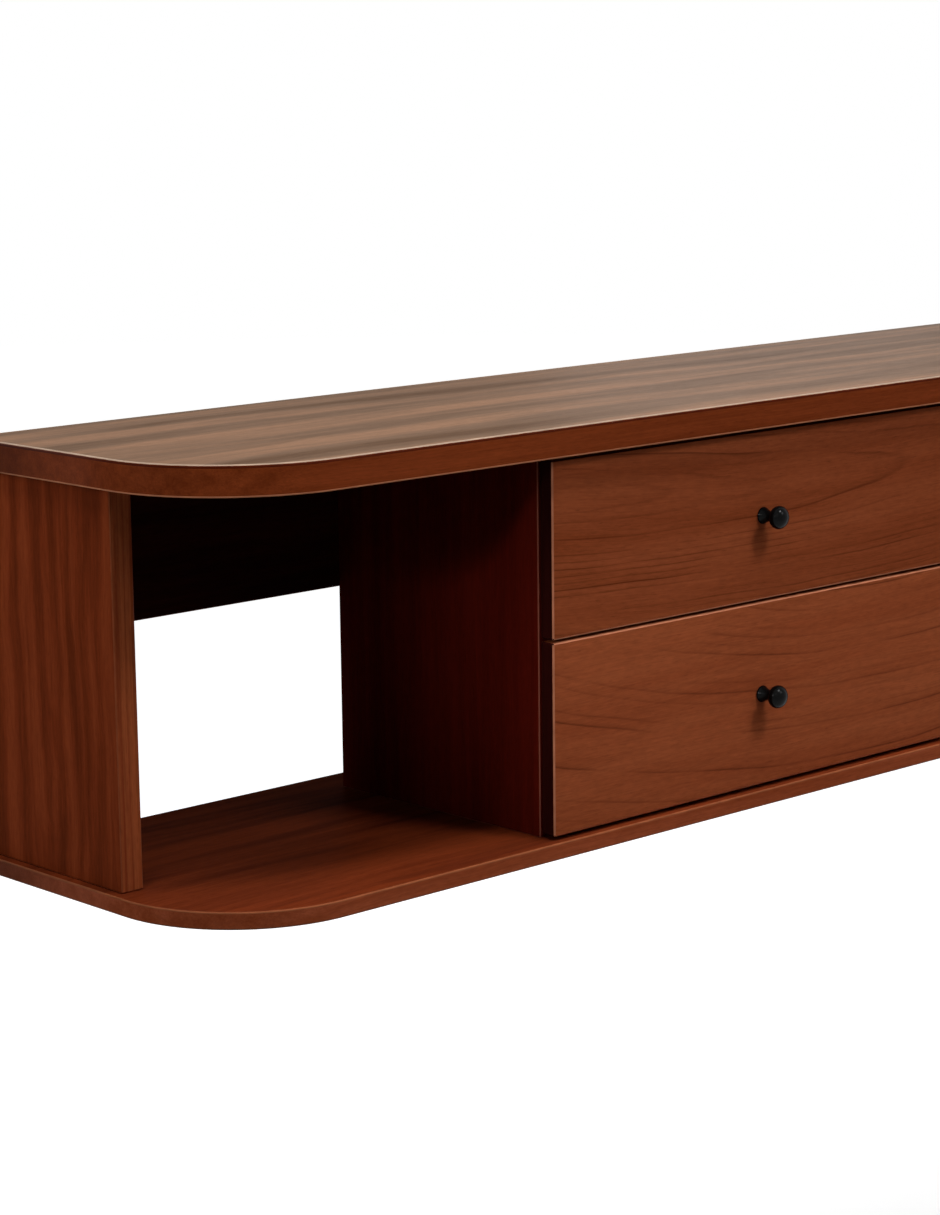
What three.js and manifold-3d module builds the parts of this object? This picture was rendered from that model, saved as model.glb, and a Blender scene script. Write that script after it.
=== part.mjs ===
// Floating media console: a wall-hung cabinet with rounded front corners, an open niche
// at each end and two columns of two drawers between them.
// Millimetres. +X runs to the right along the console, +Y into the wall, +Z up.
// The origin is the middle of the wall cleat's back face, which lies on the wall.
import * as THREE from 'three';
import { mergeVertices } from 'three/addons/utils/BufferGeometryUtils.js';
import Module from 'manifold-3d';

const wasm = await Module();
wasm.setup();

// Whole console
const length = 2080;
const height = 430;
const depth = 380;

// Boards of the carcass
const topThickness = 30;
const bottomThickness = 17;
const cornerRadius = 145;
const endPanelThickness = 25;
const endPanelInset = 10;
const endPanelSetback = 162;
const dividerThickness = 18;
const nicheWidth = 391;
const bayBackThickness = 6;
const panelArris = 1;
const glueLine = 0.3;

// Hanging rail and the pair of cleats behind it
const railThickness = 25;
const railHeight = 166;
const cleatThickness = 25;
const cleatHeight = 75;
const cleatRise = 11;
const cleatEndGap = 100;
const cleatPlay = 0.5;
const wallScrewCount = 4;
const wallScrewSpacing = 406;
const wallScrewRadius = 3.2;
const wallScrewSinkRadius = 6.5;
const wallScrewSinkDepth = 4;

// Drawer fronts, which lie over the edges of the dividers
const frontThickness = 18;
const frontSetback = 9;
const frontBackGap = 1.5;
const frontSideReveal = 1;
const frontGap = 3;
const frontFloorGap = 4;
const frontTopGap = 3;
const lowerFrontHeight = 195.5;
const frontArris = 1.5;

// Drawer boxes
const sideThickness = 12;
const boxBackThickness = 12;
const boxBottomThickness = 6;
const boxLift = 18;
const boxDrop = 27.5;
const boxRearGap = 9;
const grooveDepth = 6;
const grooveRise = 8;
const boxArris = 0.8;

// Two-part steel drawer runners
const runnerSpace = 12.7;
const runnerHeight = 35;
const runnerSheet = 1.2;
const trackDepth = 9;
const trackLip = 4.5;
const runnerPlay = 0.4;
const runnerEndGap = 4;

// Knobs and the screws that hold them
const knobRoseRadius = 8.9;
const knobRoseRim = 1.2;
const knobNeckRadius = 4.6;
const knobFlareLength = 11.5;
const knobFlareBendShare = 1.15;
const knobHeadRadius = 12.2;
const knobHeadThickness = 15.4;
const knobProjection = 31.4;
const knobBoreDepth = 12;
const knobScrewRadius = 2;
const knobScrewClearance = 0.3;
const knobScrewHeadRadius = 4.2;
const knobScrewHeadHeight = 2.4;

// How finely the curves are drawn
const cornerSteps = 14;
const knobSides = 32;
const knobFlareSteps = 8;
const knobHeadSteps = 14;
const screwSides = 20;

// A cutter runs this far past the face it cuts through.
const overrun = 1;

// Places that follow from the sizes
const endX = length / 2;
const frontY = -depth;
const floorZ = bottomThickness;
const ceilingZ = height - topThickness;
const innerLowZ = floorZ + glueLine;
const innerHighZ = ceilingZ - glueLine;
const endPanelX = endX - endPanelInset;
const endPanelInnerX = endPanelX - endPanelThickness;
const dividerX = endPanelInnerX - nicheWidth;
const railBackY = -cleatThickness - glueLine;
const railFrontY = railBackY - railThickness;
const railLowZ = ceilingZ - railHeight;
const dividerBackY = railFrontY - glueLine;
const frontFaceY = frontY + frontSetback;
const frontBackY = frontFaceY + frontThickness;
const dividerFrontY = frontBackY + frontBackGap;
const cleatLowZ = railLowZ + cleatRise;
const cleatHookZ = cleatLowZ + cleatHeight;
const cleatEndX = endPanelInnerX - cleatEndGap;
const wallMountZ = (cleatLowZ + cleatHookZ - cleatThickness) / 2;

// Finishes
const veneer = { color: 0x6b3519, roughness: 0.38, metalness: 0 };
const shadedVeneer = { color: 0x5a2a14, roughness: 0.45, metalness: 0 };
const plywood = { color: 0xc9a77a, roughness: 0.6, metalness: 0 };
const softwood = { color: 0xb98f5f, roughness: 0.75, metalness: 0 };
const zincSteel = { color: 0xb9bcbf, roughness: 0.35, metalness: 1 };
const blackMetal = { color: 0x121212, roughness: 0.32, metalness: 0.6 };

const consoleGroup = new THREE.Group();
consoleGroup.position.set(0, 0, -wallMountZ);

function addPiece(name, geometry, finish) {
  const mesh = new THREE.Mesh(geometry, new THREE.MeshStandardMaterial(finish));
  mesh.name = name;
  consoleGroup.add(mesh);
  return mesh;
}

// Lifts an outline drawn in plan to a board between two heights, with eased edges.
function easedBoard(outline, lowZ, highZ, arris) {
  const geometry = new THREE.ExtrudeGeometry(outline, {
    depth: highZ - lowZ - 2 * arris,
    steps: 1,
    curveSegments: cornerSteps,
    bevelEnabled: true,
    bevelThickness: arris,
    bevelSize: arris,
    bevelOffset: -arris,
    bevelSegments: 1,
  });
  geometry.translate(0, 0, lowZ + arris);
  return geometry;
}

// A straight board between low and high x, y and z, with all its edges eased.
function board([x0, x1], [y0, y1], [z0, z1], arris) {
  const outline = new THREE.Shape();
  outline.moveTo(x0 + arris, y0);
  outline.lineTo(x1 - arris, y0);
  outline.lineTo(x1, y0 + arris);
  outline.lineTo(x1, y1 - arris);
  outline.lineTo(x1 - arris, y1);
  outline.lineTo(x0 + arris, y1);
  outline.lineTo(x0, y1 - arris);
  outline.lineTo(x0, y0 + arris);
  outline.closePath();
  return easedBoard(outline, z0, z1, arris);
}

// The top and the bottom share this plan: square at the wall, rounded at the front.
function roundedPlan() {
  const arcX = endX - cornerRadius;
  const arcY = frontY + cornerRadius;
  const outline = new THREE.Shape();
  outline.moveTo(-endX, 0);
  outline.lineTo(-endX, arcY);
  outline.absarc(-arcX, arcY, cornerRadius, Math.PI, 1.5 * Math.PI, false);
  outline.lineTo(arcX, frontY);
  outline.absarc(arcX, arcY, cornerRadius, 1.5 * Math.PI, 2 * Math.PI, false);
  outline.lineTo(endX, 0);
  outline.closePath();
  return outline;
}

// Turns a section drawn in x and z into a bar that runs from y0 to y1.
function alongDepth(section, y0, y1) {
  const geometry = new THREE.ExtrudeGeometry(section, { depth: y1 - y0, bevelEnabled: false });
  geometry.rotateX(Math.PI / 2);
  geometry.translate(0, y1, 0);
  return geometry;
}

// Turns a section drawn in y and z into a bar that runs from x0 to x1.
function alongLength(section, x0, x1) {
  const geometry = new THREE.ExtrudeGeometry(section, { depth: x1 - x0, bevelEnabled: false });
  const axes = new THREE.Matrix4().makeBasis(
    new THREE.Vector3(0, 1, 0),
    new THREE.Vector3(0, 0, 1),
    new THREE.Vector3(1, 0, 0),
  );
  geometry.applyMatrix4(axes);
  geometry.translate(x0, 0, 0);
  return geometry;
}

function outlineOf(points) {
  return new THREE.Shape(points.map(([across, up]) => new THREE.Vector2(across, up)));
}

// The outline of a strip of sheet folded along a path through its middle.
function foldedStrip(path, sheet) {
  const points = path.map(([x, z]) => new THREE.Vector2(x, z));
  const normals = points.slice(1).map((point, i) => {
    const along = point.clone().sub(points[i]).normalize();
    return new THREE.Vector2(-along.y, along.x);
  });
  const faces = points.map((point, i) => {
    const before = normals[Math.max(i - 1, 0)];
    const after = normals[Math.min(i, normals.length - 1)];
    const corner = before.clone().add(after).divideScalar(1 + before.dot(after));
    corner.multiplyScalar(sheet / 2);
    return [point.clone().add(corner), point.clone().sub(corner)];
  });
  const oneFace = faces.map(([face]) => face);
  const otherFace = faces.map(([, face]) => face).reverse();
  return new THREE.Shape([...oneFace, ...otherFace]);
}

// Spins a profile of radius and reach, and points its reach out of the front, along -Y.
function turned(profile, sides) {
  const points = profile.map(([radius, reach]) => new THREE.Vector2(radius, reach));
  const geometry = new THREE.LatheGeometry(points, sides);
  geometry.rotateX(Math.PI);
  return geometry;
}

function solidOf(geometry) {
  const bare = geometry.clone();
  bare.deleteAttribute('normal');
  bare.deleteAttribute('uv');
  const closed = mergeVertices(bare);
  const { array } = closed.getAttribute('position');
  const corners = new Uint32Array(closed.getIndex().array);
  const faces = [];
  for (let i = 0; i < corners.length; i += 3) {
    const [a, b, c] = corners.subarray(i, i + 3);
    if (a !== b && b !== c && c !== a) faces.push(a, b, c);
  }
  const mesh = new wasm.Mesh({ numProp: 3, vertProperties: array, triVerts: new Uint32Array(faces) });
  return new wasm.Manifold(mesh);
}

// Cuts the cutters out of a piece.
function cut(geometry, cutters) {
  let solid = solidOf(geometry);
  for (const cutter of cutters) solid = solid.subtract(solidOf(cutter));
  const mesh = solid.getMesh();
  const result = new THREE.BufferGeometry();
  result.setAttribute('position', new THREE.BufferAttribute(mesh.vertProperties, mesh.numProp));
  result.setIndex(new THREE.BufferAttribute(mesh.triVerts, 1));
  result.computeVertexNormals();
  return result;
}

function addSlabs() {
  addPiece('top_panel', easedBoard(roundedPlan(), ceilingZ, height, panelArris), veneer);
  addPiece('bottom_panel', easedBoard(roundedPlan(), 0, floorZ, panelArris), veneer);
}

// The end panels stand back from the rounded corners and run to the wall.
function addEndPanels() {
  const y = [frontY + endPanelSetback, 0];
  const z = [innerLowZ, innerHighZ];
  addPiece('left_end_panel', board([-endPanelX, -endPanelInnerX], y, z, panelArris), veneer);
  addPiece('right_end_panel', board([endPanelInnerX, endPanelX], y, z, panelArris), veneer);
}

// The dividers stop short of the wall, where the rail passes behind them.
function addDividers() {
  const y = [dividerFrontY, dividerBackY];
  const z = [innerLowZ, innerHighZ];
  const innerX = dividerX - dividerThickness;
  const halfCentre = dividerThickness / 2;
  addPiece('left_divider', board([-dividerX, -innerX], y, z, panelArris), shadedVeneer);
  addPiece('centre_divider', board([-halfCentre, halfCentre], y, z, panelArris), shadedVeneer);
  addPiece('right_divider', board([innerX, dividerX], y, z, panelArris), shadedVeneer);
}

function addBackPieces() {
  const railX = endPanelInnerX - glueLine;
  const railY = [railFrontY, railBackY];
  const rail = board([-railX, railX], railY, [railLowZ, innerHighZ], panelArris);
  addPiece('hanging_rail', rail, shadedVeneer);

  const backX = dividerX - dividerThickness / 2;
  const backY = [railFrontY, railFrontY + bayBackThickness];
  const back = board([-backX, backX], backY, [innerLowZ, railLowZ - glueLine], boxArris);
  addPiece('drawer_bay_back', back, plywood);
}

// The cabinet's cleat hooks over the wall's cleat on a 45 degree slope that falls to the wall.
function addCleats() {
  const wallSection = outlineOf([
    [0, cleatLowZ],
    [0, cleatHookZ - cleatThickness],
    [-cleatThickness, cleatHookZ],
    [-cleatThickness, cleatLowZ],
  ]);
  const cabinetSection = outlineOf([
    [-cleatPlay, cleatHookZ - cleatThickness + 2 * cleatPlay],
    [-cleatPlay, innerHighZ],
    [-cleatThickness, innerHighZ],
    [-cleatThickness, cleatHookZ + cleatPlay],
  ]);
  addPiece('cabinet_cleat', alongLength(cabinetSection, -cleatEndX, cleatEndX), softwood);

  const holes = Array.from({ length: wallScrewCount }, (_, i) => {
    const x = (i - (wallScrewCount - 1) / 2) * wallScrewSpacing;
    return wallScrewHole().translate(x, 0, wallMountZ);
  });
  const wallCleat = cut(alongLength(wallSection, -cleatEndX, cleatEndX), holes);
  addPiece('wall_cleat', wallCleat, softwood);
}

// A countersunk hole whose sink opens on the room side of the cleat.
function wallScrewHole() {
  return turned([
    [0, -overrun],
    [wallScrewRadius, -overrun],
    [wallScrewRadius, cleatThickness - wallScrewSinkDepth],
    [wallScrewSinkRadius, cleatThickness],
    [wallScrewSinkRadius, cleatThickness + overrun],
    [0, cleatThickness + overrun],
  ], screwSides);
}

// The track is a lipped channel on the divider, its mouth towards the drawer.
function trackGeometry(hand, y0, y1) {
  const webX = glueLine + runnerSheet / 2;
  const mouthX = glueLine + trackDepth - runnerSheet / 2;
  const flangeZ = (runnerHeight - runnerSheet) / 2;
  const lipZ = runnerHeight / 2 - trackLip;
  const path = [[mouthX, lipZ], [mouthX, flangeZ], [webX, flangeZ]];
  return alongDepth(foldedStrip(mirroredPath(path, hand), runnerSheet), y0, y1);
}

// The slide is screwed to the drawer, and its two hooked edges run behind the track's lips.
function slideGeometry(hand, y0, y1) {
  const webX = runnerSpace - glueLine - runnerSheet / 2;
  const hookX = glueLine + trackDepth - 1.5 * runnerSheet - runnerPlay;
  const tipZ = runnerHeight / 2 - runnerSheet - runnerPlay;
  const neckZ = runnerHeight / 2 - trackLip - runnerPlay - runnerSheet / 2;
  const path = [[hookX, tipZ], [hookX, neckZ], [webX, neckZ]];
  return alongDepth(foldedStrip(mirroredPath(path, hand), runnerSheet), y0, y1);
}

// Completes a path with its mirror image below, and turns it to face left or right.
function mirroredPath(upper, hand) {
  const lower = upper.map(([x, z]) => [x, -z]).reverse();
  return [...upper, ...lower].map(([x, z]) => [hand * x, z]);
}

// A mushroom knob: a flared rose, a neck and a flattened ball, bored for its screw.
function knobGeometry() {
  const boreRadius = knobScrewRadius + knobScrewClearance;
  const headMiddle = knobProjection - knobHeadThickness / 2;
  const headStart = -Math.acos(knobNeckRadius / knobHeadRadius);
  const profile = [
    [0, knobBoreDepth],
    [boreRadius, knobBoreDepth],
    [boreRadius, 0],
    [knobRoseRadius, 0],
  ];
  for (let i = 0; i <= knobFlareSteps; i += 1) {
    const share = i / knobFlareSteps;
    const radius = knobNeckRadius + (knobRoseRadius - knobNeckRadius) * (1 - share) ** knobFlareBendShare;
    profile.push([radius, knobRoseRim + (knobFlareLength - knobRoseRim) * share]);
  }
  for (let i = 0; i < knobHeadSteps; i += 1) {
    const angle = headStart + (Math.PI / 2 - headStart) * (i / knobHeadSteps);
    const radius = knobHeadRadius * Math.cos(angle);
    profile.push([radius, headMiddle + (knobHeadThickness / 2) * Math.sin(angle)]);
  }
  profile.push([0, knobProjection]);
  return turned(profile, knobSides);
}

// A pan-head machine screw: its head lies on the back of the front, its tip in the knob.
function knobScrewGeometry() {
  const headReach = -frontThickness - glueLine;
  const tipReach = knobBoreDepth - knobScrewRadius;
  return turned([
    [0, headReach - knobScrewHeadHeight],
    [knobScrewHeadRadius - knobScrewHeadHeight / 2, headReach - knobScrewHeadHeight],
    [knobScrewHeadRadius, headReach - knobScrewHeadHeight / 2],
    [knobScrewHeadRadius, headReach],
    [knobScrewRadius, headReach],
    [knobScrewRadius, tipReach],
    [0, tipReach],
  ], screwSides);
}

// A drawer side, grooved on its inner face for the bottom. hand is 1 on the left side.
function drawerSideGeometry(hand, outerX, box) {
  const innerX = sideThickness;
  const section = [
    [0, box.lowZ],
    [innerX, box.lowZ],
    [innerX, box.grooveLowZ],
    [innerX - grooveDepth, box.grooveLowZ],
    [innerX - grooveDepth, box.grooveHighZ],
    [innerX, box.grooveHighZ],
    [innerX, box.highZ - boxArris],
    [innerX - boxArris, box.highZ],
    [boxArris, box.highZ],
    [0, box.highZ - boxArris],
  ];
  const placed = section.map(([x, z]) => [outerX + hand * x, z]);
  return alongDepth(outlineOf(placed), box.frontY, box.rearY);
}

// A drawer front, bored for the knob's screw and grooved for the front edge of the bottom.
function drawerFrontGeometry(column, row, box) {
  const y = [frontFaceY, frontBackY];
  const blank = board([column.frontLowX, column.frontHighX], y, [row.lowZ, row.highZ], frontArris);
  const holeLength = frontThickness + 2 * overrun;
  const holeRadius = knobScrewRadius + knobScrewClearance;
  const hole = new THREE.CylinderGeometry(holeRadius, holeRadius, holeLength, screwSides);
  hole.translate(column.knobX, (frontFaceY + frontBackY) / 2, row.knobZ);
  const grooveLength = box.grooveHighX - box.grooveLowX;
  const grooveHeight = box.grooveHighZ - box.grooveLowZ;
  const groove = new THREE.BoxGeometry(grooveLength, grooveDepth + overrun, grooveHeight);
  groove.translate(
    (box.grooveLowX + box.grooveHighX) / 2,
    frontBackY + (overrun - grooveDepth) / 2,
    (box.grooveLowZ + box.grooveHighZ) / 2,
  );
  return cut(blank, [hole, groove]);
}

// The places of a drawer box, from the bay that it runs in and the front that it carries.
function boxPlaces(column, row) {
  const lowX = column.bayLowX + runnerSpace;
  const highX = column.bayHighX - runnerSpace;
  const lowZ = row.lowZ + boxLift;
  const highZ = row.highZ - boxDrop;
  const grooveLowZ = lowZ + grooveRise;
  return {
    lowX,
    highX,
    lowZ,
    highZ,
    innerLowX: lowX + sideThickness,
    innerHighX: highX - sideThickness,
    frontY: frontBackY + glueLine,
    rearY: dividerBackY - boxRearGap,
    grooveLowZ,
    grooveHighZ: grooveLowZ + boxBottomThickness + 2 * glueLine,
    grooveLowX: lowX + sideThickness - grooveDepth,
    grooveHighX: highX - sideThickness + grooveDepth,
  };
}

function addDrawerBox(name, box) {
  addPiece(`${name}_left_side`, drawerSideGeometry(1, box.lowX, box), plywood);
  addPiece(`${name}_right_side`, drawerSideGeometry(-1, box.highX, box), plywood);

  const backX = [box.innerLowX + glueLine, box.innerHighX - glueLine];
  const backY = [box.rearY - boxBackThickness, box.rearY];
  addPiece(`${name}_back`, board(backX, backY, [box.grooveHighZ, box.highZ], boxArris), plywood);

  const bottomX = [box.grooveLowX + glueLine, box.grooveHighX - glueLine];
  const bottomY = [frontBackY - grooveDepth + glueLine, box.rearY];
  const bottomZ = [box.grooveLowZ + glueLine, box.grooveHighZ - glueLine];
  addPiece(`${name}_bottom`, board(bottomX, bottomY, bottomZ, boxArris), plywood);
}

// One track on each side of the bay, and a slide in each on the sides of the box.
function addRunners(column, row, box) {
  const drawer = `${row.name}_${column.name}_drawer`;
  const runnerZ = (box.lowZ + box.highZ) / 2;
  const y0 = dividerFrontY + runnerEndGap;
  const y1 = box.rearY - runnerEndGap;
  for (const [sideName, hand, faceX] of [['left', 1, column.bayLowX], ['right', -1, column.bayHighX]]) {
    const track = `${row.name}_${column.name}_bay_${sideName}_track`;
    addPiece(track, trackGeometry(hand, y0, y1), zincSteel).position.set(faceX, 0, runnerZ);
    const slide = `${drawer}_${sideName}_slide`;
    addPiece(slide, slideGeometry(hand, y0, y1), zincSteel).position.set(faceX, 0, runnerZ);
  }
}

function addDrawer(column, row) {
  const name = `${row.name}_${column.name}_drawer`;
  const box = boxPlaces(column, row);
  addPiece(`${name}_front`, drawerFrontGeometry(column, row, box), veneer);
  addDrawerBox(name, box);
  const knob = addPiece(`${name}_knob`, knobGeometry(), blackMetal);
  knob.position.set(column.knobX, frontFaceY - glueLine, row.knobZ);
  const screw = addPiece(`${name}_knob_screw`, knobScrewGeometry(), zincSteel);
  screw.position.set(column.knobX, frontFaceY, row.knobZ);
  addRunners(column, row, box);
}

// A column of drawers between two dividers. side is -1 on the left and 1 on the right.
function drawerColumn(name, side) {
  const outerX = side * (dividerX - frontSideReveal);
  const middleX = side * (frontGap / 2);
  const bayOuterX = side * (dividerX - dividerThickness);
  const bayMiddleX = side * (dividerThickness / 2);
  return {
    name,
    frontLowX: Math.min(outerX, middleX),
    frontHighX: Math.max(outerX, middleX),
    bayLowX: Math.min(bayOuterX, bayMiddleX),
    bayHighX: Math.max(bayOuterX, bayMiddleX),
    knobX: (outerX + middleX) / 2,
  };
}

function drawerRow(name, lowZ, highZ) {
  return { name, lowZ, highZ, knobZ: (lowZ + highZ) / 2 };
}

const lowerFrontZ = floorZ + frontFloorGap;
const upperFrontZ = lowerFrontZ + lowerFrontHeight + frontGap;
const rows = [
  drawerRow('upper', upperFrontZ, ceilingZ - frontTopGap),
  drawerRow('lower', lowerFrontZ, lowerFrontZ + lowerFrontHeight),
];
const columns = [drawerColumn('left', -1), drawerColumn('right', 1)];

addSlabs();
addEndPanels();
addDividers();
addBackPieces();
addCleats();
for (const row of rows) {
  for (const column of columns) addDrawer(column, row);
}

export default consoleGroup;
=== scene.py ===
"""Floating media console in walnut veneer: top and bottom with rounded front corners, open end
niches, four drawers with turned black knobs. Metres, +Z up, wall plane at Y = 0, fronts face -Y."""

import math

import bmesh
import bpy
from mathutils import Euler, Matrix, Vector


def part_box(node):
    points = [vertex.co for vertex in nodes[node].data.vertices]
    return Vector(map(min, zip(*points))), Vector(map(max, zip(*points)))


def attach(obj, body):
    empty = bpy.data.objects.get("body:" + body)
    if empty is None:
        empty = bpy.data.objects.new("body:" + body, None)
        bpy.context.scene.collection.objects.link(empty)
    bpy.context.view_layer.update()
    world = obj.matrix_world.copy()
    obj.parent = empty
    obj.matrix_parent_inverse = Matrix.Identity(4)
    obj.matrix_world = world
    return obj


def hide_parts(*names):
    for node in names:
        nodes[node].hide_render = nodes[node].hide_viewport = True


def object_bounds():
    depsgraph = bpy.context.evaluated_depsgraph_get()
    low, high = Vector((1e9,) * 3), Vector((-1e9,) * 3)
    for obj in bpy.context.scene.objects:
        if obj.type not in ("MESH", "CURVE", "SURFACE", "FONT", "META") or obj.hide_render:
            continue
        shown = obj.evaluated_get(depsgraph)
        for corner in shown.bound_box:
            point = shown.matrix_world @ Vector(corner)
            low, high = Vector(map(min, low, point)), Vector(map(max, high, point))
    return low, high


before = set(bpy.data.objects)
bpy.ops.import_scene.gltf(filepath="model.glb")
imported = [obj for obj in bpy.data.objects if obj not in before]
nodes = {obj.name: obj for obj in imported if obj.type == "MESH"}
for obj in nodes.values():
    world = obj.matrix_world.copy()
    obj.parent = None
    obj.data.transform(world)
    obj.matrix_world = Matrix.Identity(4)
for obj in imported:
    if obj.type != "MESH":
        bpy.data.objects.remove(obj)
cad_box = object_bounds()

MM = 0.001

# Camera: the photograph's viewpoint, with angles in radians and lens and sensor in millimetres
CAMERA_PLACE = (-2.6895, -2.4871, 0.5420)
CAMERA_YAW = 0.7486
CAMERA_PITCH = 0.1862
CAMERA_ROLL = -0.0121
CAMERA_LENS = 91.57
CAMERA_SENSOR = 36.0

# Floor: how far below the console it lies, and its glow for the camera by distance from the middle
FLOOR_DROP = 0.93
FLOOR_RADIUS = 14.0
FLOOR_STEPS = 96
FLOOR_GREY = 0.45
GLOW_UNDER = 0.78
GLOW_RISES_FROM = 1.0
WHITE_FROM = 2.1

# World: dim light from the room's side and the wall's, and where the one passes into the other
FILL_FROM_ROOM = 0.03
FILL_FROM_WALL = 0.015
ROOM_SIDE = -0.2
WALL_SIDE = 0.4

# Board edges: how they are rounded, and how a face's normal and height tell what it belongs to
CORNER_SEGMENTS = 28
ARRIS_SEGMENTS = 4
TOP_ARRIS = 3.2 * MM
BOTTOM_ARRIS = 1.6 * MM
LOWER_RIM = 1.8 * MM
RIM_ANGLE = math.radians(60)
SAME_PLACE = 0.01 * MM
FLAT_ENOUGH = 0.985
UPRIGHT_ENOUGH = 1 - FLAT_ENOUGH
END_SHARE = 0.5
SEAM_AND_SHADE_LIFT = 0.6
SHADED_ABOVE = 120 * MM

# Knob: radii as shares of the head's radius, depths as shares of the whole length
KNOB_STEPS = 64
FLARE_STEPS = 14
HEAD_STEPS = 20
ROSE_RADIUS = 0.73
NECK_RADIUS = 0.37
BORE_RADIUS = 0.19
BORE_DEPTH = 0.38
ROSE_RIM = 0.035
FLARE_DEPTH = 0.38
FLARE_CURVE = 1.25
HEAD_DEPTH = 0.58
NECK_INTO_HEAD = 0.08
HEAD_OPENING = 0.13

# A Mix node's sockets: its two colours and the one it gives, then its two numbers
MIX_A, MIX_B, MIXED = 6, 7, 2
MIX_LOW, MIX_HIGH = 2, 3


def linear(code):
    """The linear colour of an sRGB hex code."""
    channels = [int(code[i:i + 2], 16) / 255 for i in (1, 3, 5)]
    return (*[c / 12.92 if c <= 0.04045 else ((c + 0.055) / 1.055) ** 2.4 for c in channels], 1.0)


def grey(level):
    return (level, level, level, 1.0)


def add(tree, kind, links=None, stops=None, **settings):
    """Adds a node: its own settings, then values or feeding sockets for its inputs, then ramp stops."""
    made = tree.nodes.new(kind)
    for name, value in settings.items():
        setattr(made, name, value)
    for socket, value in (links or {}).items():
        if isinstance(value, bpy.types.NodeSocket):
            tree.links.new(value, made.inputs[socket])
        else:
            made.inputs[socket].default_value = value
    if stops:
        ramp = made.color_ramp.elements
        while len(ramp) < len(stops):
            ramp.new(1.0)
        for element, (position, colour) in zip(ramp, stops):
            element.position = position
            element.color = colour
    return made


def new_material(name):
    """An empty node material and its tree."""
    material = bpy.data.materials.new(name)
    material.use_nodes = True
    material.node_tree.nodes.clear()
    return material, material.node_tree


def grain_noise(tree, place, length, width, detail=1.0, roughness=0.5, axis=0):
    """Noise drawn out along an axis (0 for X, 1 for Y), with patches of a length and a width in
    millimetres."""
    per_metre = [1 / (width * MM)] * 3
    per_metre[axis] = 1 / (length * MM)
    drawn = add(tree, "ShaderNodeVectorMath", {0: place, 1: per_metre}, operation="MULTIPLY")
    return add(tree, "ShaderNodeTexNoise", {"Vector": drawn.outputs[0], "Scale": 1.0, "Detail": detail,
               "Roughness": roughness})


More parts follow.
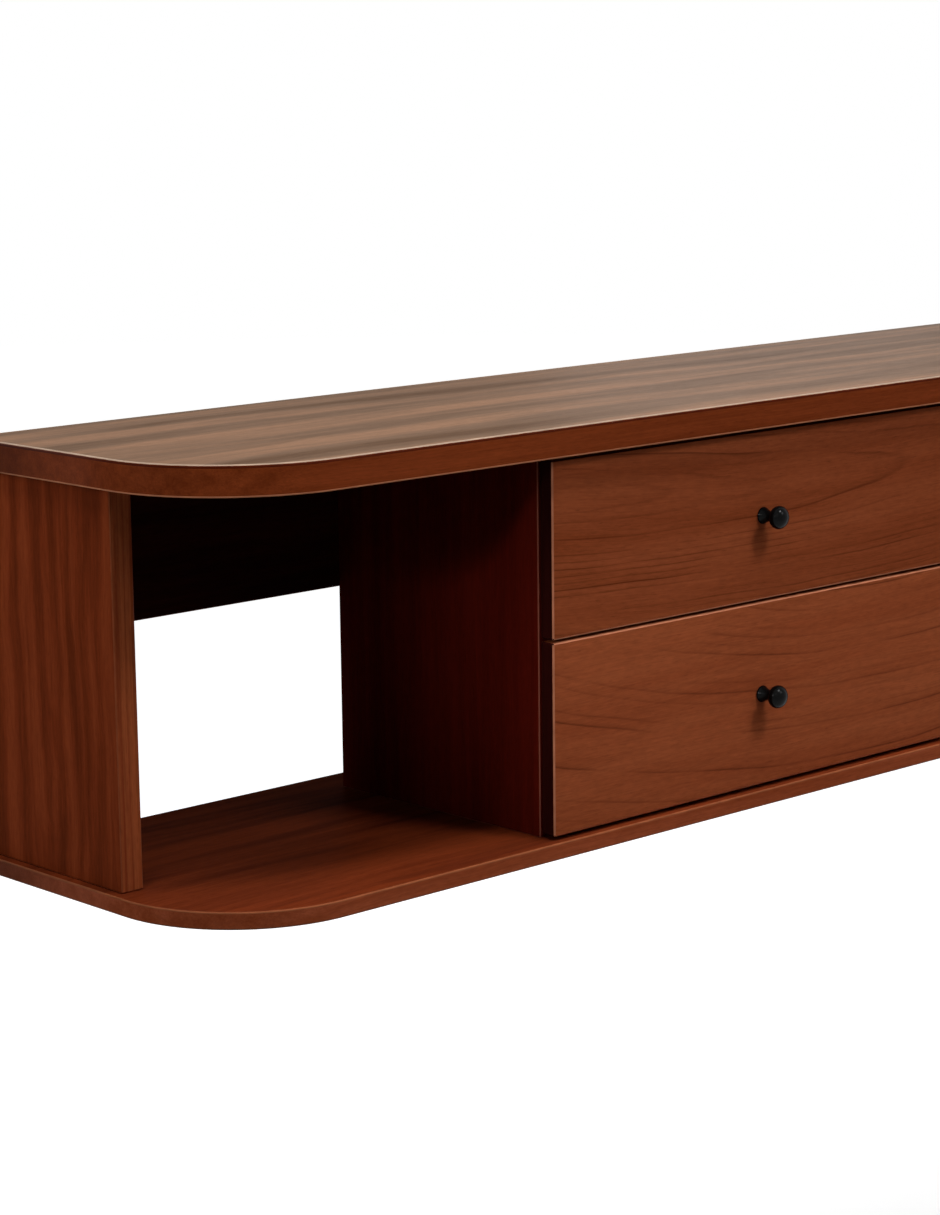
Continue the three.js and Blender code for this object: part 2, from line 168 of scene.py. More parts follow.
# Walnut veneer, sliced from a log and finished with satin lacquer: growth rings cut as long loops
# and sweeps, fine fibre, short open pores and slow changes of tone; the lacquer gives a soft sheen
def veneer(name, tones, line, heart, ring, line_share, lean=(0, 0, 0), upright=False,
           bow=(0.0, 0.0), wander=7.0, wander_length=300.0, first_year=0, tone_length=420.0,
           tone_width=26.0, tone_span=(0.34, 0.68), roughness=0.5, gloss=0.01):
    """A veneer in tones from dark to light, with late wood in the colour line. Its log has its heart
    at the point heart, leans from the board by the angles lean and bows from the place bow[0] along
    the board with the curvature bow[1]. The years count from first_year, each with lines of its own
    strength, and line_share is how much of their colour the strongest have. tone_span is the part
    of the noise that the tones spread over. Ring, wander and tone sizes are in millimetres."""
    material, tree = new_material(name)
    turn = Euler((0, -math.pi / 2, 0)).to_matrix() if upright else Matrix.Identity(3)
    place = add(tree, "ShaderNodeTexCoord")
    board = add(tree, "ShaderNodeMapping", {"Vector": place.outputs["Object"],
                "Rotation": turn.to_euler()}, vector_type="TEXTURE")
    # The log wanders as it grows, slowly along the grain and faster across it
    drift = grain_noise(tree, board.outputs[0], wander_length, width=90, detail=2.5, roughness=0.45)
    centred = add(tree, "ShaderNodeVectorMath", {0: drift.outputs["Color"], 1: (0.5, 0.5, 0.5)},
                  operation="SUBTRACT")
    push = 2 * wander * MM
    pushed = add(tree, "ShaderNodeVectorMath", {0: centred.outputs[0], 1: (0, push, push),
                 2: board.outputs[0]}, operation="MULTIPLY_ADD")
    axes = add(tree, "ShaderNodeSeparateXYZ", {"Vector": board.outputs[0]})
    along = add(tree, "ShaderNodeMath", {0: axes.outputs["X"], 1: bow[0]}, operation="SUBTRACT")
    squared = add(tree, "ShaderNodeMath", {0: along.outputs[0], 1: 2.0}, operation="POWER")
    rise = add(tree, "ShaderNodeVectorMath", {0: (0, 0, -bow[1] / 2), "Scale": squared.outputs[0]},
               operation="SCALE")
    bowed = add(tree, "ShaderNodeVectorMath", {0: pushed.outputs[0], 1: rise.outputs[0]},
                operation="ADD")
    grain = bowed.outputs[0]
    log = add(tree, "ShaderNodeMapping", {"Vector": grain, "Location": turn.inverted() @ Vector(heart),
              "Rotation": lean}, vector_type="TEXTURE")
    across = add(tree, "ShaderNodeVectorMath", {0: log.outputs[0], 1: (0, 1, 1)}, operation="MULTIPLY")
    radius = add(tree, "ShaderNodeVectorMath", {0: across.outputs[0]}, operation="LENGTH")
    rings = add(tree, "ShaderNodeMath", {0: radius.outputs["Value"], 1: 1 / (ring * MM),
                2: first_year}, operation="MULTIPLY_ADD")
    count = add(tree, "ShaderNodeMath", {0: rings.outputs[0]}, operation="FLOOR")
    within = add(tree, "ShaderNodeMath", {0: rings.outputs[0]}, operation="FRACT")
    # Each ring darkens towards its late wood, and each year has its own strength
    late = add(tree, "ShaderNodeValToRGB", {"Fac": within.outputs[0]}, stops=[
        (0.0, grey(0.12)), (0.35, grey(0.0)), (0.70, grey(0.25)), (0.88, grey(1.0)), (1.0, grey(0.12))])
    year = add(tree, "ShaderNodeTexWhiteNoise", {"W": count.outputs[0]}, noise_dimensions="1D")
    strong = add(tree, "ShaderNodeMapRange", {"Value": year.outputs["Value"], "From Min": 0.2,
                 "From Max": 1.0, "To Min": 0.10, "To Max": 1.0})
    # Lines fade in and out along the board
    fade = grain_noise(tree, board.outputs[0], length=160, width=30)
    seen = add(tree, "ShaderNodeMapRange", {"Value": fade.outputs["Fac"], "From Min": 0.30,
               "From Max": 0.60})
    lines = add(tree, "ShaderNodeMath", {0: late.outputs["Color"], 1: strong.outputs[0]},
                operation="MULTIPLY")
    lines_seen = add(tree, "ShaderNodeMath", {0: lines.outputs[0], 1: seen.outputs[0]},
                     operation="MULTIPLY")
    line_amount = add(tree, "ShaderNodeMath", {0: lines_seen.outputs[0], 1: line_share},
                      operation="MULTIPLY")
    # Slow bands of tone along the grain
    tone = grain_noise(tree, grain, tone_length, tone_width, detail=3.0, roughness=0.55)
    low, high = tone_span
    bands = add(tree, "ShaderNodeValToRGB", {"Fac": tone.outputs["Fac"]}, stops=[
        (low + (high - low) * i / (len(tones) - 1), linear(code)) for i, code in enumerate(tones)])
    # Fibre about 1 mm wide, drawn a little coarser than life so that it shows
    fibre = grain_noise(tree, grain, length=55, width=1.2, detail=2.5, roughness=0.65)
    fibre_shade = add(tree, "ShaderNodeMapRange", {"Value": fibre.outputs["Fac"], "From Min": 0.3,
                      "From Max": 0.7, "To Min": 0.88, "To Max": 1.10})
    # Short flecks, where the fibres dip in and out of the cut, and open pores
    fleck = grain_noise(tree, grain, length=13, width=2.6, detail=1.5, roughness=0.6)
    fleck_shade = add(tree, "ShaderNodeMapRange", {"Value": fleck.outputs["Fac"], "From Min": 0.3,
                      "From Max": 0.7, "To Min": 0.92, "To Max": 1.08})
    pore = grain_noise(tree, grain, length=11, width=0.9)
    pore_shade = add(tree, "ShaderNodeMapRange", {"Value": pore.outputs["Fac"], "From Min": 0.62,
                     "From Max": 0.76, "To Min": 1.0, "To Max": 0.78})
    lined = add(tree, "ShaderNodeMix", {"Factor": line_amount.outputs[0], MIX_A: bands.outputs["Color"],
                MIX_B: linear(line)}, data_type="RGBA")
    fine = add(tree, "ShaderNodeMath", {0: fibre_shade.outputs[0], 1: pore_shade.outputs[0]},
               operation="MULTIPLY")
    shade = add(tree, "ShaderNodeMath", {0: fine.outputs[0], 1: fleck_shade.outputs[0]},
                operation="MULTIPLY")
    colour = add(tree, "ShaderNodeVectorMath", {0: lined.outputs[MIXED], "Scale": shade.outputs[0]},
                 operation="SCALE")
    satin = add(tree, "ShaderNodeMapRange", {"Value": fibre.outputs["Fac"], "From Min": 0.2,
                "From Max": 0.8, "To Min": roughness + 0.05, "To Max": roughness - 0.05})
    relief = add(tree, "ShaderNodeBump", {"Height": shade.outputs[0], "Strength": 0.25,
                 "Distance": 0.12 * MM})
    shader = add(tree, "ShaderNodeBsdfPrincipled", {"Base Color": colour.outputs[0],
                 "Roughness": satin.outputs[0], "Specular IOR Level": gloss, "Normal": relief.outputs[0]})
    add(tree, "ShaderNodeOutputMaterial", {"Surface": shader.outputs[0]})
    return material


# The same veneer on its eased edges: mostly a fine paler line, a painted highlight where light would
# catch the rounding, and a dark one, painted shade at a seam or under the top
def eased_edge(name, code, gloss):
    material, tree = new_material(name)
    place = add(tree, "ShaderNodeTexCoord")
    # Patches about 17 mm long, where the sanding went a little deeper
    patch = add(tree, "ShaderNodeTexNoise", {"Vector": place.outputs["Object"],
                "Scale": 1 / (16.7 * MM), "Detail": 2.0})
    shade = add(tree, "ShaderNodeMapRange", {"Value": patch.outputs["Fac"], "From Min": 0.3,
                "From Max": 0.7, "To Min": 0.85, "To Max": 1.1})
    colour = add(tree, "ShaderNodeVectorMath", {0: linear(code)[:3], "Scale": shade.outputs[0]},
                 operation="SCALE")
    shader = add(tree, "ShaderNodeBsdfPrincipled", {"Base Color": colour.outputs[0],
                 "Roughness": 0.4, "Specular IOR Level": gloss})
    add(tree, "ShaderNodeOutputMaterial", {"Surface": shader.outputs[0]})
    return material


# Birch plywood, sanded and clear lacquered: pale faces with faint figure, and on the cut edges
# thin plies that are light and dark by turns
def birch_plywood(name, ply_axis):
    """Plywood whose plies are stacked along the axis ply_axis (0 for X, 1 for Y, 2 for Z)."""
    material, tree = new_material(name)
    place = add(tree, "ShaderNodeTexCoord")
    figure = grain_noise(tree, place.outputs["Object"], length=160, width=10, detail=4.0,
                         roughness=0.6, axis=0 if ply_axis else 1)
    face = add(tree, "ShaderNodeValToRGB", {"Fac": figure.outputs["Fac"]}, stops=[
        (0.30, linear("#b8966a")), (0.55, linear("#d2b48a")), (0.75, linear("#dcc39c"))])
    # A light and a dark ply together are 2.8 mm thick
    axes = add(tree, "ShaderNodeSeparateXYZ", {"Vector": place.outputs["Object"]})
    plies = add(tree, "ShaderNodeMath", {0: axes.outputs[ply_axis], 1: 2 * math.pi / (2.8 * MM)},
                operation="MULTIPLY")
    wave = add(tree, "ShaderNodeMath", {0: plies.outputs[0]}, operation="SINE")
    edge = add(tree, "ShaderNodeMapRange", {"Value": wave.outputs[0], "From Min": -0.4, "From Max": 0.4})
    edge_colour = add(tree, "ShaderNodeMix", {"Factor": edge.outputs[0], MIX_A: linear("#a67c4e"),
                      MIX_B: linear("#d8bd92")}, data_type="RGBA")
    surface = add(tree, "ShaderNodeNewGeometry")
    facing = add(tree, "ShaderNodeSeparateXYZ", {"Vector": surface.outputs["True Normal"]})
    straight = add(tree, "ShaderNodeMath", {0: facing.outputs[ply_axis]}, operation="ABSOLUTE")
    on_edge = add(tree, "ShaderNodeMath", {0: straight.outputs[0], 1: 0.5}, operation="LESS_THAN")
    colour = add(tree, "ShaderNodeMix", {"Factor": on_edge.outputs[0], MIX_A: face.outputs["Color"],
                 MIX_B: edge_colour.outputs[MIXED]}, data_type="RGBA")
    relief = add(tree, "ShaderNodeBump", {"Height": figure.outputs["Fac"], "Strength": 0.2,
                 "Distance": 0.1 * MM})
    shader = add(tree, "ShaderNodeBsdfPrincipled", {"Base Color": colour.outputs[MIXED],
                 "Roughness": 0.5, "Specular IOR Level": 0.4, "Normal": relief.outputs[0]})
    add(tree, "ShaderNodeOutputMaterial", {"Surface": shader.outputs[0]})
    return material


# Planed softwood for the hidden cleats: slightly bent dark late wood lines on a pale ground
def planed_softwood(name):
    """Growth rings 5 mm apart over the height of a cleat, which bend by up to about two rings."""
    material, tree = new_material(name)
    place = add(tree, "ShaderNodeTexCoord")
    bend = grain_noise(tree, place.outputs["Object"], length=900, width=20, detail=2.0)
    axes = add(tree, "ShaderNodeSeparateXYZ", {"Vector": place.outputs["Object"]})
    level = add(tree, "ShaderNodeMath", {0: axes.outputs["Z"], 1: 1 / (5.0 * MM)}, operation="MULTIPLY")
    moved = add(tree, "ShaderNodeMath", {0: bend.outputs["Fac"], 1: 2.2, 2: level.outputs[0]},
                operation="MULTIPLY_ADD")
    within = add(tree, "ShaderNodeMath", {0: moved.outputs[0]}, operation="FRACT")
    colour = add(tree, "ShaderNodeValToRGB", {"Fac": within.outputs[0]}, stops=[
        (0.0, linear("#d9bd8d")), (0.6, linear("#d0b07c")), (0.92, linear("#b08850")),
        (1.0, linear("#d4b685"))])
    relief = add(tree, "ShaderNodeBump", {"Height": within.outputs[0], "Strength": 0.2,
                 "Distance": 0.1 * MM})
    shader = add(tree, "ShaderNodeBsdfPrincipled", {"Base Color": colour.outputs["Color"],
                 "Roughness": 0.62, "Specular IOR Level": 0.3, "Normal": relief.outputs[0]})
    add(tree, "ShaderNodeOutputMaterial", {"Surface": shader.outputs[0]})
    return material


# Hardboard for the back of the drawer bays: dense brown fibre with a fine speckle
def hardboard(name):
    material, tree = new_material(name)
    place = add(tree, "ShaderNodeTexCoord")
    # Bundles of fibre 2.4 mm wide, coarser than life so that they show
    speck = add(tree, "ShaderNodeTexNoise", {"Vector": place.outputs["Object"],
                "Scale": 1 / (2.4 * MM), "Detail": 4.0, "Roughness": 0.7})
    colour = add(tree, "ShaderNodeValToRGB", {"Fac": speck.outputs["Fac"]}, stops=[
        (0.32, linear("#4a3120")), (0.55, linear("#6a4a31")), (0.72, linear("#7d5c40"))])
    relief = add(tree, "ShaderNodeBump", {"Height": speck.outputs["Fac"], "Strength": 0.3,
                 "Distance": 0.15 * MM})
    shader = add(tree, "ShaderNodeBsdfPrincipled", {"Base Color": colour.outputs["Color"],
                 "Roughness": 0.7, "Specular IOR Level": 0.3, "Normal": relief.outputs[0]})
    add(tree, "ShaderNodeOutputMaterial", {"Surface": shader.outputs[0]})
    return material


# Zinc plated steel, rolled: bluish silver with faint rolling marks from front to back
def zinc_plate(name, code, roughness):
    material, tree = new_material(name)
    place = add(tree, "ShaderNodeTexCoord")
    marks = grain_noise(tree, place.outputs["Object"], length=60, width=0.8, detail=2.0, axis=1)
    # Clouds of tone in the plating, 11 mm wide
    cloud = add(tree, "ShaderNodeTexNoise", {"Vector": place.outputs["Object"],
                "Scale": 1 / (11 * MM), "Detail": 3.0})
    rough = add(tree, "ShaderNodeMapRange", {"Value": marks.outputs["Fac"], "From Min": 0.3,
                "From Max": 0.7, "To Min": roughness - 0.06, "To Max": roughness + 0.08})
    shade = add(tree, "ShaderNodeMapRange", {"Value": cloud.outputs["Fac"], "From Min": 0.3,
                "From Max": 0.7, "To Min": 0.88, "To Max": 1.05})
    colour = add(tree, "ShaderNodeVectorMath", {0: linear(code)[:3], "Scale": shade.outputs[0]},
                 operation="SCALE")
    shader = add(tree, "ShaderNodeBsdfPrincipled", {"Base Color": colour.outputs[0], "Metallic": 1.0,
                 "Roughness": rough.outputs[0]})
    add(tree, "ShaderNodeOutputMaterial", {"Surface": shader.outputs[0]})
    return material


# Cast zinc knob, powder coated satin black: nearly black with a soft highlight and a fine orange peel
def black_powder_coat(name):
    material, tree = new_material(name)
    place = add(tree, "ShaderNodeTexCoord")
    # Orange peel 1.1 mm wide, and patches of 8.3 mm that shine a little less
    peel = add(tree, "ShaderNodeTexNoise", {"Vector": place.outputs["Object"],
               "Scale": 1 / (1.1 * MM), "Detail": 1.0})
    cloud = add(tree, "ShaderNodeTexNoise", {"Vector": place.outputs["Object"],
                "Scale": 1 / (8.3 * MM), "Detail": 2.0})
    colour = add(tree, "ShaderNodeValToRGB", {"Fac": cloud.outputs["Fac"]}, stops=[
        (0.35, linear("#020202")), (0.7, linear("#050505"))])
    rough = add(tree, "ShaderNodeMapRange", {"Value": cloud.outputs["Fac"], "From Min": 0.3,
                "From Max": 0.7, "To Min": 0.16, "To Max": 0.21})
    relief = add(tree, "ShaderNodeBump", {"Height": peel.outputs["Fac"], "Strength": 0.15,
                 "Distance": 0.03 * MM})
    shader = add(tree, "ShaderNodeBsdfPrincipled", {"Base Color": colour.outputs["Color"],
                 "Roughness": rough.outputs[0], "Specular IOR Level": 0.065,
                 "Normal": relief.outputs[0]})
    add(tree, "ShaderNodeOutputMaterial", {"Surface": shader.outputs[0]})
    return material


def paint(piece, materials, choose=lambda face: 0):
    """Gives a piece its materials, and each face the one that choose picks."""
    piece.data.materials.clear()
    for material in materials:
        piece.data.materials.append(material)
    for face in piece.data.polygons:
        face.material_index = choose(face)


def eased(face):
    """0 for a face that looks straight along an axis of the cabinet, 1 for one on an eased edge."""
    return 0 if max(abs(part) for part in face.normal) > FLAT_ENOUGH else 1


def end_faces(face):
    """0 for the flat faces, 1 for the eased edges, 2 for the band on the front."""
    return 2 if face.normal.y < -FLAT_ENOUGH else eased(face)


def drawer_faces(face):
    """0 for the flat faces, 1 for the eased edges of the face, pale as a painted highlight, 2 for the two
    ends with their edges, nearly black as painted shade, 3 for the lower eased edge, bright as a painted
    highlight, and 4 for the upper one where it lies in the shade of the top, painted dark as that shade."""
    if abs(face.normal.x) > END_SHARE and abs(face.normal.y) < END_SHARE:
        return 2
    if eased(face) and face.normal.z < -END_SHARE:
        return 3
    if eased(face) and face.normal.z > END_SHARE and face.center.z > SHADED_ABOVE:
        return 4
    return eased(face)


def top_faces(face):
    """0 for the flat faces, 1 for the band, 2 for the upper rim, pale as a painted highlight, 3 for the
    seam under it, dark as a seam and painted shade, 4 below, bright as a painted highlight. The rim
    along the wall is as dark as the seam."""
    lift = face.normal.z
    if abs(lift) > FLAT_ENOUGH:
        return 0
    if abs(lift) < UPRIGHT_ENOUGH:
        return 1
    if lift < 0:
        return 4
    return 2 if lift > SEAM_AND_SHADE_LIFT and face.normal.y < END_SHARE * lift else 3


def bottom_faces(face):
    """0 for the flat faces, 1 for the band, 2 for the eased rims."""
    lift = abs(face.normal.z)
    if lift > FLAT_ENOUGH:
        return 0
    return 1 if lift < UPRIGHT_ENOUGH else 2


def new_object(name, data):
    made = bpy.data.objects.new(name, data)
    bpy.context.scene.collection.objects.link(made)
    return made


def new_piece(name, mesh, body, replaced):
    """A finished piece from a bmesh, smooth, riding on its body in place of its CAD nodes."""
    data = bpy.data.meshes.new(name)
    bmesh.ops.recalc_face_normals(mesh, faces=mesh.faces)
    for face in mesh.faces:
        face.smooth = True
    mesh.to_mesh(data)
    mesh.free()
    piece = new_object(name, data)
    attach(piece, body)
    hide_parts(*replaced)
    return piece


def corner_radius(node):
    """The radius of a panel's front corners, read from where its straight front edge begins."""
    low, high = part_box(node)
    front = [v.co.x for v in nodes[node].data.vertices if v.co.y < low.y + SAME_PLACE]
    return min(front) - low.x


def round_edges(mesh, edges, radius, segments):
    bmesh.ops.bevel(mesh, geom=edges, offset=radius, offset_type="OFFSET", segments=segments,
                    profile=0.5, affect="EDGES", material=-1)


def rounded_panel(name, node, arris):
    """A horizontal panel with round front corners and softly eased rims."""
    low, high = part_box(node)
    mesh = bmesh.new()
    bmesh.ops.create_cube(mesh, size=1.0)
    bmesh.ops.scale(mesh, vec=high - low, verts=mesh.verts)
    bmesh.ops.translate(mesh, vec=(low + high) / 2, verts=mesh.verts)
    # The two upright edges at the front
    corners = [e for e in mesh.edges if all(v.co.y < low.y + MM for v in e.verts)
               and abs(e.verts[0].co.z - e.verts[1].co.z) > MM]
    round_edges(mesh, corners, corner_radius(node), CORNER_SEGMENTS)
    # The edges round the upper face, then those round the lower one
    for level, offset in ((high.z, arris), (low.z, LOWER_RIM)):
        rim = [e for e in mesh.edges if all(abs(v.co.z - level) < SAME_PLACE for v in e.verts)
               and e.calc_face_angle(0) > RIM_ANGLE]
        round_edges(mesh, rim, offset, ARRIS_SEGMENTS)
    panel = new_piece(name, mesh, "carcass", [node])
    # The large faces keep their own normals, so that only the corners and rims shade round
    even = panel.modifiers.new("even_shading", "WEIGHTED_NORMAL")
    even.weight = 100
    return panel


def knob(name, node, body, material):
    """A turned mushroom knob: rose, flared neck and domed head, spun about its axis. A point of its
    profile is a radius and a distance from the drawer's front, from the bottom of the bore on."""
    low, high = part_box(node)
    centre = (low + high) / 2
    length = high.y - low.y
    head = (high.x - low.x) / 2
    rose = head * ROSE_RADIUS
    neck = head * NECK_RADIUS
    bore = head * BORE_RADIUS
    bore_depth = length * BORE_DEPTH
    rim = length * ROSE_RIM
    flare = length * FLARE_DEPTH - rim
    head_depth = length * HEAD_DEPTH
    profile = [(0.0, bore_depth), (bore, bore_depth), (bore, 0.0),
               (rose - rim / 2, 0.0), (rose, rim / 2), (rose, rim)]
    for step in range(1, FLARE_STEPS + 1):
        share = step / FLARE_STEPS
        profile.append((neck + (rose - neck) * (1 - share) ** FLARE_CURVE, rim + flare * share))
    profile.append((neck, length - head_depth * (1 - NECK_INTO_HEAD)))
    # The head is a flattened ball, open where the neck enters it and closed on the axis
    for step in range(1, HEAD_STEPS + 1):
        angle = math.pi * (HEAD_OPENING + (1 - HEAD_OPENING) * step / HEAD_STEPS)
        profile.append((head * math.sin(angle), length - head_depth / 2 * (1 + math.cos(angle))))
    profile[-1] = (0.0, length)
    mesh = bmesh.new()
    path = [mesh.verts.new((centre.x + radius, high.y - reach, centre.z)) for radius, reach in profile]
    edges = [mesh.edges.new(pair) for pair in zip(path, path[1:])]
    bmesh.ops.spin(mesh, geom=[*path, *edges], cent=centre, axis=(0, 1, 0), angle=2 * math.pi,
                   steps=KNOB_STEPS, use_merge=True)
    bmesh.ops.remove_doubles(mesh, verts=mesh.verts, dist=SAME_PLACE)
    piece = new_piece(name, mesh, body, [node])
    paint(piece, [material])


# Finishes of the boards
# The top's tones are greyed to paint in the pale sheen of its lacquer, which its low gloss leaves out
top_face_painted_sheen = veneer("walnut_veneer_top_face_painted_sheen", ("#422e1e", "#523e2f", "#674c39"), "#3f2b1c",
                  heart=(-0.2, 0.35, -0.6), lean=(0, 0.02, 0.05), ring=16.0, wander=14.0,
                  line_share=0.35, tone_length=800.0, tone_width=44.0, tone_span=(0.34, 0.66),
                  roughness=0.42, gloss=0.003)
top_band = veneer("walnut_veneer_top_band", ("#5c260f", "#6f3116"), "#4c1e0c",
                  heart=(0.0, -0.1, -0.4), ring=9.0, line_share=0.3, tone_width=12.0)
# The bottom face's tones are walnut shifted towards red, partly as painted red bounce light from the
# dividers
bottom_face = veneer("walnut_veneer_bottom_face", ("#461a0b", "#652912"), "#34130a",
                     heart=(-0.9, -0.2, -0.9), lean=(0, 0.03, 0.04), ring=16.0, wander=12.0,
                     line_share=0.5, tone_width=24.0, gloss=0.0004)
bottom_band = veneer("walnut_veneer_bottom_band", ("#7d3a1f", "#8e472c"), "#5a2713",
                     heart=(0.0, -0.1, -0.8), ring=9.0, line_share=0.3, tone_width=12.0)
end_face = veneer("walnut_veneer_end", ("#5b240e", "#6c2c13", "#7b361a"), "#421708",
                  heart=(-1.6, 0.5, 0.0), upright=True, ring=19.0, wander=15.0, wander_length=190.0,
                  line_share=0.32, tone_width=19.0, tone_span=(0.36, 0.64), gloss=0.006)
end_band = veneer("walnut_veneer_end_band", ("#76331a", "#924a29"), "#4c1c0b",
                  heart=(-1.6, 0.5, 0.0), upright=True, ring=4.5, wander=3.0, line_share=0.5,
                  tone_length=700.0, tone_width=4.5, tone_span=(0.42, 0.60), gloss=0.006)
# The dividers' veneer is darkened to deep red-black as painted shade of the niches and bays
divider_face_painted_shade = veneer("walnut_veneer_divider_painted_shade", ("#480e06", "#561409"), "#360904",
                      heart=(-1.2, 0.4, 0.0), upright=True, ring=15.0, wander=9.0, line_share=0.35,
                      tone_length=500.0, tone_width=20.0, gloss=0.001)
# The rail's veneer is darkened almost to black as painted shade under the top
rail_face_painted_shade = veneer("walnut_veneer_rail_painted_shade", ("#230b07", "#35120b"), "#1f0905", heart=(0.0, 0.3, 0.4),
                   ring=11.0, line_share=0.4, gloss=0.001)
# The top's pale upper rim and bright lower rim are painted highlights where light would catch them
top_rim_highlight = eased_edge("walnut_top_rim_painted_highlight", "#85705f", gloss=0.02)
top_under_rim_highlight = eased_edge("walnut_top_under_rim_painted_highlight", "#b37452", gloss=0.01)
# A dark seam under the top's rim, also painted shade there and on the drawer fronts' upper rims
seam_and_shade_edge = eased_edge("walnut_top_seam_and_painted_shade", "#3c1407", gloss=0.01)
bottom_edge = eased_edge("walnut_bottom_eased_edge", "#784329", gloss=0.01)
end_edge = eased_edge("walnut_end_eased_edge", "#7c3f25", gloss=0.01)
dim_edge = eased_edge("walnut_niche_eased_edge", "#7d4436", gloss=0.01)
softwood = planed_softwood("planed_softwood_cleats")
bay_board = hardboard("hardboard_bay_back")

# Finishes of the drawers: tones and line colour of each row, and the plane of their logs' hearts
# The upper row's tones are darker than the lower row's, as painted shade from the top above them
UPPER_TONES = ("#71351b", "#7e3f23"), "#3f1809"
LOWER_TONES = ("#803e22", "#8a4729"), "#4c200e"
FRONT_PLANE = -371 * MM
front_faces = {
    "upper_left": veneer("walnut_veneer_upper_left_front", *UPPER_TONES,
                         heart=(-0.94, FRONT_PLANE, 0.072), lean=(0, 0, 0.055), bow=(-0.17, 0.2),
                         ring=6.7, wander=8.0, first_year=64, line_share=0.85),
    "lower_left": veneer("walnut_veneer_lower_left_front", *LOWER_TONES,
                         heart=(-0.1, FRONT_PLANE, 0.16), lean=(0, 0, -0.42),
                         ring=9.5, wander=8.0, first_year=21, line_share=0.85),
    "upper_right": veneer("walnut_veneer_upper_right_front", *UPPER_TONES,
                          heart=(1.35, FRONT_PLANE, 0.02), lean=(0, 0, -0.055), bow=(0.2, 0.15),
                          ring=7.5, wander=8.0, first_year=40, line_share=0.85),
    "lower_right": veneer("walnut_veneer_lower_right_front", *LOWER_TONES,
                          heart=(0.15, FRONT_PLANE, -0.42), lean=(0, 0, 0.3),
                          ring=10.0, wander=8.0, first_year=23, line_share=0.85),
}
# The two ends of each front are painted nearly black, as the shade in the gaps beside them
front_ends_painted_shade = veneer("walnut_veneer_front_ends_painted_shade", ("#1d0605", "#290a07"), "#170504",
                    heart=(0.0, 0.3, 0.4), upright=True, ring=9.0, line_share=0.3, gloss=0.002)
# The fronts' eased edges are painted paler, and their lower edge bright, as highlights where light would
# catch them
front_edge_highlight = eased_edge("walnut_front_eased_edge_painted_highlight", "#a0654a", gloss=0.02)
front_lower_edge_highlight = eased_edge("walnut_front_lower_edge_painted_highlight", "#d08a68", gloss=0.02)
side_plywood = birch_plywood("birch_plywood_sides", 0)
back_plywood = birch_plywood("birch_plywood_backs", 1)
bottom_plywood = birch_plywood("birch_plywood_bottoms", 2)
runner_zinc = zinc_plate("zinc_plated_runner", "#b9bdc2", 0.34)
screw_zinc = zinc_plate("zinc_plated_screw", "#c6c8ca", 0.28)
knob_black = black_powder_coat("satin_black_powder_coat")

# Boards
top = rounded_panel("top_board", "top_panel", TOP_ARRIS)
bottom = rounded_panel("bottom_board", "bottom_panel", BOTTOM_ARRIS)
paint(top, [top_face_painted_sheen, top_band, top_rim_highlight, seam_and_shade_edge, top_under_rim_highlight], top_faces)
paint(bottom, [bottom_face, bottom_band, bottom_edge], bottom_faces)
for node in ("left_end_panel", "right_end_panel"):
    paint(nodes[node], [end_face, end_edge, end_band], end_faces)
for node in ("left_divider", "centre_divider", "right_divider"):
    paint(nodes[node], [divider_face_painted_shade, dim_edge], eased)
paint(nodes["hanging_rail"], [rail_face_painted_shade, dim_edge], eased)
paint(nodes["drawer_bay_back"], [bay_board])
for node in ("cabinet_cleat", "wall_cleat"):
    paint(nodes[node], [softwood])

# Drawers and their runners
for row in ("upper", "lower"):
    for column in ("left", "right"):
        drawer = f"{row}_{column}_drawer"
        paint(nodes[f"{drawer}_front"], [front_faces[f"{row}_{column}"], front_edge_highlight, front_ends_painted_shade,
              front_lower_edge_highlight, seam_and_shade_edge], drawer_faces)
        for side in ("left", "right"):
            paint(nodes[f"{drawer}_{side}_side"], [side_plywood])
            paint(nodes[f"{drawer}_{side}_slide"], [runner_zinc])
            paint(nodes[f"{row}_{column}_bay_{side}_track"], [runner_zinc])
        paint(nodes[f"{drawer}_back"], [back_plywood])
        paint(nodes[f"{drawer}_bottom"], [bottom_plywood])
        paint(nodes[f"{drawer}_knob_screw"], [screw_zinc])
        knob(f"{row}_{column}_turned_knob", f"{drawer}_knob", drawer, knob_black)


def seen_directly(tree):
    """1 for a ray that shows the background itself, straight or in a mirror or glass, 0 for light."""
    rays = add(tree, "ShaderNodeLightPath")
    mirrored = add(tree, "ShaderNodeMath", {0: rays.outputs["Is Camera Ray"],
                   1: rays.outputs["Is Glossy Ray"]}, operation="MAXIMUM")
    seen = add(tree, "ShaderNodeMath", {0: mirrored.outputs[0],
               1: rays.outputs["Is Transmission Ray"]}, operation="MAXIMUM")
    return seen.outputs[0]


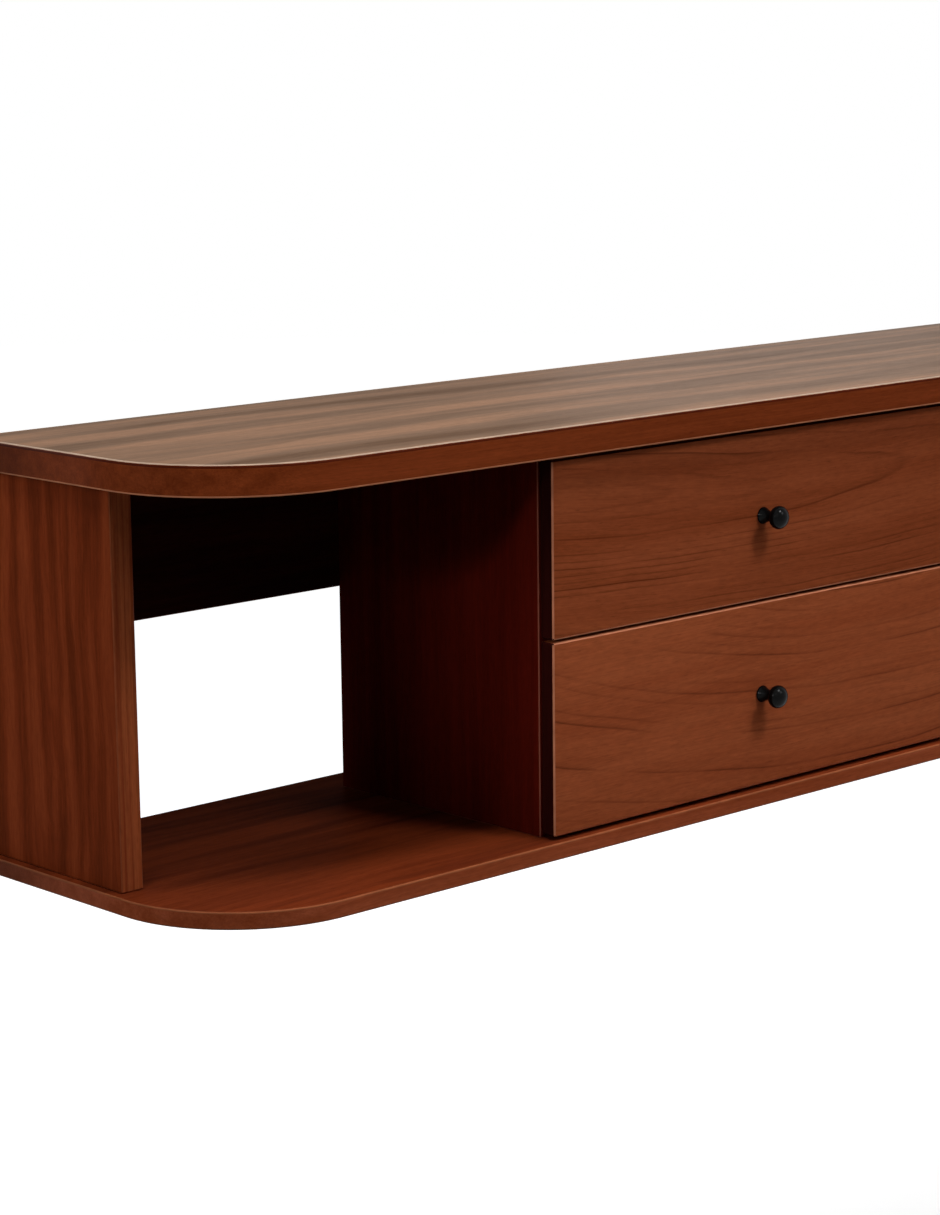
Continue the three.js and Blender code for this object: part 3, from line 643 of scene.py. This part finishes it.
def studio_floor():
    """A pale floor that keeps the console's shadow and reads white to the camera."""
    mesh = bmesh.new()
    bmesh.ops.create_circle(mesh, cap_ends=True, segments=FLOOR_STEPS, radius=FLOOR_RADIUS)
    bmesh.ops.translate(mesh, vec=(0, 0, cad_box[0].z - FLOOR_DROP), verts=mesh.verts)
    data = bpy.data.meshes.new("studio_floor")
    mesh.to_mesh(data)
    mesh.free()
    floor = new_object("studio_floor", data)
    material, tree = new_material("matt_white_floor")
    place = add(tree, "ShaderNodeTexCoord")
    reach = add(tree, "ShaderNodeVectorMath", {0: place.outputs["Object"]}, operation="LENGTH")
    level = add(tree, "ShaderNodeMapRange", {"Value": reach.outputs["Value"], "From Min": GLOW_RISES_FROM,
                "From Max": WHITE_FROM, "To Min": GLOW_UNDER, "To Max": 1.0})
    glow = add(tree, "ShaderNodeMath", {0: seen_directly(tree), 1: level.outputs[0]},
               operation="MULTIPLY")
    matt = add(tree, "ShaderNodeBsdfDiffuse", {"Color": grey(FLOOR_GREY)})
    lift = add(tree, "ShaderNodeEmission", {"Color": grey(1.0), "Strength": glow.outputs[0]})
    both = add(tree, "ShaderNodeAddShader", {0: matt.outputs[0], 1: lift.outputs[0]})
    add(tree, "ShaderNodeOutputMaterial", {"Surface": both.outputs[0]})
    floor.data.materials.append(material)


def studio_world():
    """White where it is seen; as light, a dim fill that is stronger from the room's side."""
    world = bpy.data.worlds.new("studio")
    bpy.context.scene.world = world
    world.use_nodes = True
    tree = world.node_tree
    tree.nodes.clear()
    place = add(tree, "ShaderNodeTexCoord")
    axes = add(tree, "ShaderNodeSeparateXYZ", {"Vector": place.outputs["Generated"]})
    fill = add(tree, "ShaderNodeMapRange", {"Value": axes.outputs["Y"], "From Min": ROOM_SIDE,
               "From Max": WALL_SIDE, "To Min": FILL_FROM_ROOM, "To Max": FILL_FROM_WALL})
    strength = add(tree, "ShaderNodeMix", {"Factor": seen_directly(tree), MIX_LOW: fill.outputs[0],
                   MIX_HIGH: 1.0}, data_type="FLOAT")
    light = add(tree, "ShaderNodeBackground", {"Color": grey(1.0), "Strength": strength.outputs[0]})
    add(tree, "ShaderNodeOutputWorld", {"Surface": light.outputs[0]})


def hang_lamp(name, data, place, target):
    """A lamp at a place that looks at a target and that the camera doesn't see."""
    lamp = new_object(name, data)
    lamp.location = place
    lamp.rotation_euler = (Vector(target) - Vector(place)).to_track_quat("-Z", "Y").to_euler()
    lamp.visible_camera = False
    return lamp


def softbox(name, place, target, width, height, power):
    """A rectangular soft lamp, with its sides in metres and its power in watts."""
    data = bpy.data.lights.new(name, "AREA")
    data.shape = "RECTANGLE"
    data.size = width
    data.size_y = height
    data.energy = power
    return hang_lamp(name, data, place, target)


def niche_spot(name, place, target, cone, radius, power):
    """A soft spot that shines through a cone in degrees."""
    data = bpy.data.lights.new(name, "SPOT")
    data.spot_size = math.radians(cone)
    data.spot_blend = 1.0
    data.shadow_soft_size = radius
    data.energy = power
    return hang_lamp(name, data, place, target)


def place_camera():
    data = bpy.data.cameras.new("camera")
    data.lens = CAMERA_LENS
    data.sensor_width = CAMERA_SENSOR
    camera = new_object("camera", data)
    turn = (Matrix.Rotation(-CAMERA_YAW, 4, "Z") @ Matrix.Rotation(math.pi / 2 - CAMERA_PITCH, 4, "X")
            @ Matrix.Rotation(CAMERA_ROLL, 4, "Z"))
    camera.matrix_world = Matrix.Translation(CAMERA_PLACE) @ turn
    bpy.context.scene.camera = camera


# Stage
studio_floor()
studio_world()
softbox("key_softbox", (0.8, -2.9, 1.5), (-0.4, -0.3, 0.0), 0.8, 0.8, 12)
overhead = softbox("overhead_softbox", (-0.58, -0.6, 2.0), (-0.58, -0.6, 0.0), 2.8, 0.6, 89)
overhead.visible_glossy = False
softbox("high_front_softbox", (0.0, -2.0, 2.05), (-0.3, -0.4, 0.0), 0.6, 0.5, 34)
softbox("front_left_softbox", (-1.9, -2.3, 1.3), (-0.7, -0.3, -0.1), 1.0, 1.0, 2.5)
softbox("left_softbox", (-1.95, 0.1, 0.35), (-1.0, -0.1, -0.05), 0.25, 0.9, 4.3)
softbox("back_softbox", (2.6, 2.2, 0.55), (-0.1, -0.2, 0.16), 1.0, 0.8, 4.5)
niche_spot("high_niche_spot", (-3.0, -1.0, 0.8), (-0.614, -0.35, 0.01), 7.8, 0.12, 58)
niche_spot("low_niche_spot", (-3.0, -1.0, 0.8), (-0.614, -0.35, -0.13), 7.8, 0.12, 58)
place_camera()
bpy.context.scene.view_settings.view_transform = "Standard"
